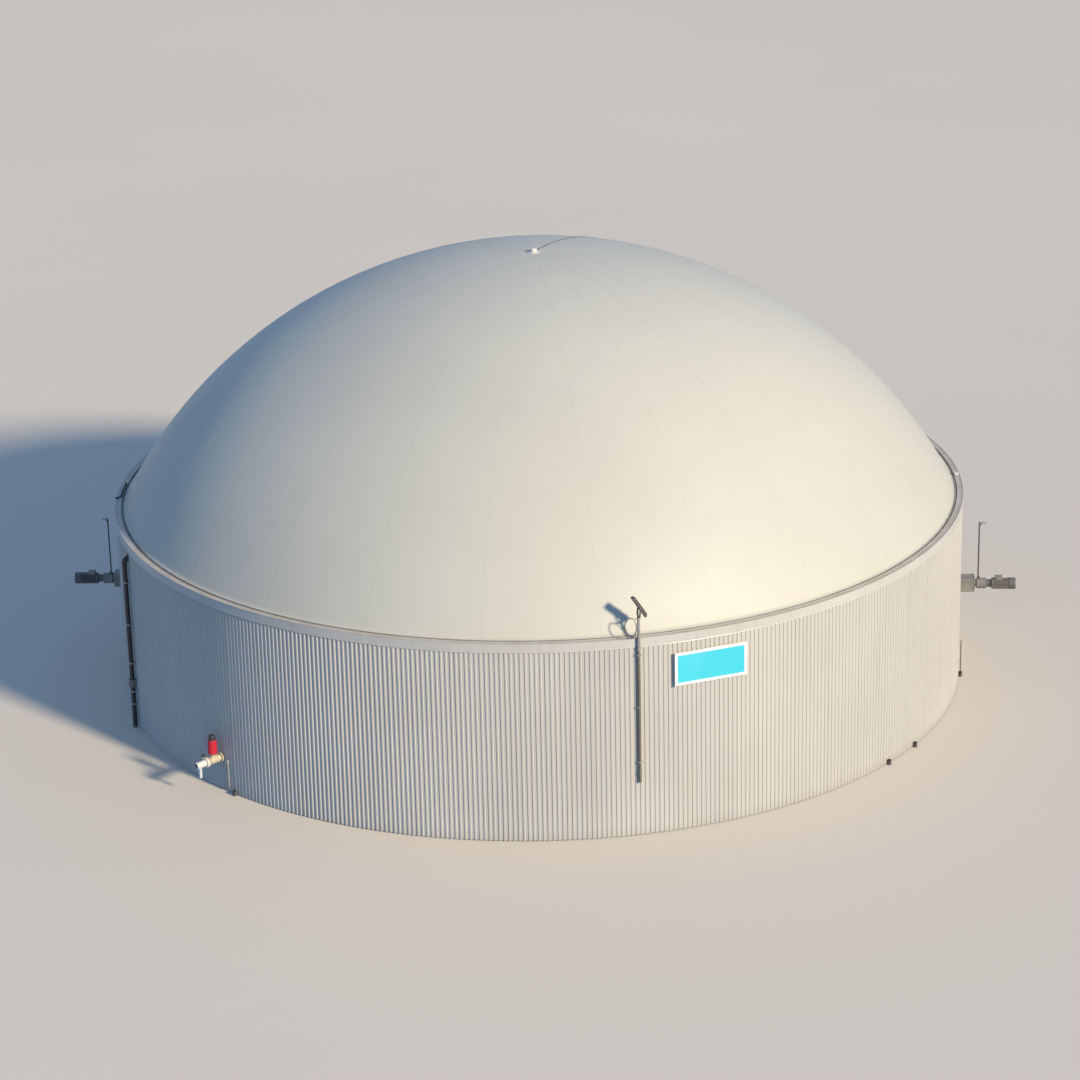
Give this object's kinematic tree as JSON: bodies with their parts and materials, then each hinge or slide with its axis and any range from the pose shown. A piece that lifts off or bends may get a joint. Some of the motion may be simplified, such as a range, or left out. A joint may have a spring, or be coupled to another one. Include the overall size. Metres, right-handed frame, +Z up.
{
  "type": "biogas digester",
  "caption": "Round biogas digester: concrete tank in ribbed steel cladding under a domed membrane roof, with side stirrers, gas pipe, drain valve, lamp mast and a plain sign.",
  "frame": {"origin": "centre of the tank at ground level, on the underside of the floor slab", "axes": "+Z up; -Y towards the front, the side with the lamp mast and the sign; +X to the right seen from the front"},
  "size_m": [29.3364, 26.0406, 13.48],
  "materials": {
    "concrete": "cast concrete, matt and slightly rough",
    "cladding": "coated steel sheet with trapezoidal ribs, satin",
    "flashing": "folded coated steel sheet, satin",
    "membrane": "coated fabric, smooth with a soft sheen and welded seams",
    "stainless": "stainless steel, brushed",
    "black_rubber": "black rubber, matt",
    "black_plastic": "black polyethylene, satin",
    "white_plastic": "off-white plastic, satin",
    "grey_paint": "grey machine paint, satin",
    "dark_paint": "dark grey paint, satin",
    "red_paint": "red machine paint, satin",
    "cream_paint": "cream machine paint, satin",
    "sign_face": "cyan face with a white border, glossy and bare"
  },
  "bodies": {
    "root": {"floor_slab": "concrete", "wall_segment_1": "concrete", "wall_segment_2": "concrete", "wall_segment_3": "concrete", "wall_segment_4": "concrete", "wall_segment_5": "concrete", "wall_segment_6": "concrete", "cladding_1": "cladding", "cladding_2": "cladding", "cladding_3": "cladding", "cladding_4": "cladding", "cladding_5": "cladding", "cladding_6": "cladding", "rim_flashing_1": "flashing", "rim_flashing_2": "flashing", "rim_flashing_3": "flashing", "rim_flashing_4": "flashing", "clamp_rail": "stainless", "clamp_hose": "black_rubber", "outer_membrane": "membrane", "crown_fitting": "white_plastic", "gauge_belt": "black_rubber", "level_gauge": "white_plastic", "lamp_mast": "dark_paint", "floodlight": "dark_paint", "cable_coil": "black_rubber", "sign_panel": "sign_face", "sign_rail_left": "stainless", "sign_rail_right": "stainless", "gas_pipe_lower": "black_plastic", "gas_pipe_upper": "black_plastic", "gas_valve": "grey_paint", "mixer_left_box": "grey_paint", "mixer_left_gear": "grey_paint", "mixer_left_motor": "grey_paint", "mixer_left_davit": "dark_paint", "mixer_right_box": "grey_paint", "mixer_right_gear": "grey_paint", "mixer_right_motor": "grey_paint", "mixer_right_davit": "dark_paint", "drain_valve": "cream_paint", "drain_actuator": "red_paint", "drain_pipe": "white_plastic", "drain_conduit": "white_plastic", "leak_tube_left": "black_plastic", "leak_tube_front": "black_plastic", "leak_tube_right": "black_plastic", "leak_tube_riser": "black_plastic", "rim_hose": "black_rubber", "rim_fitting": "white_plastic"}
  },
  "joints": []
}
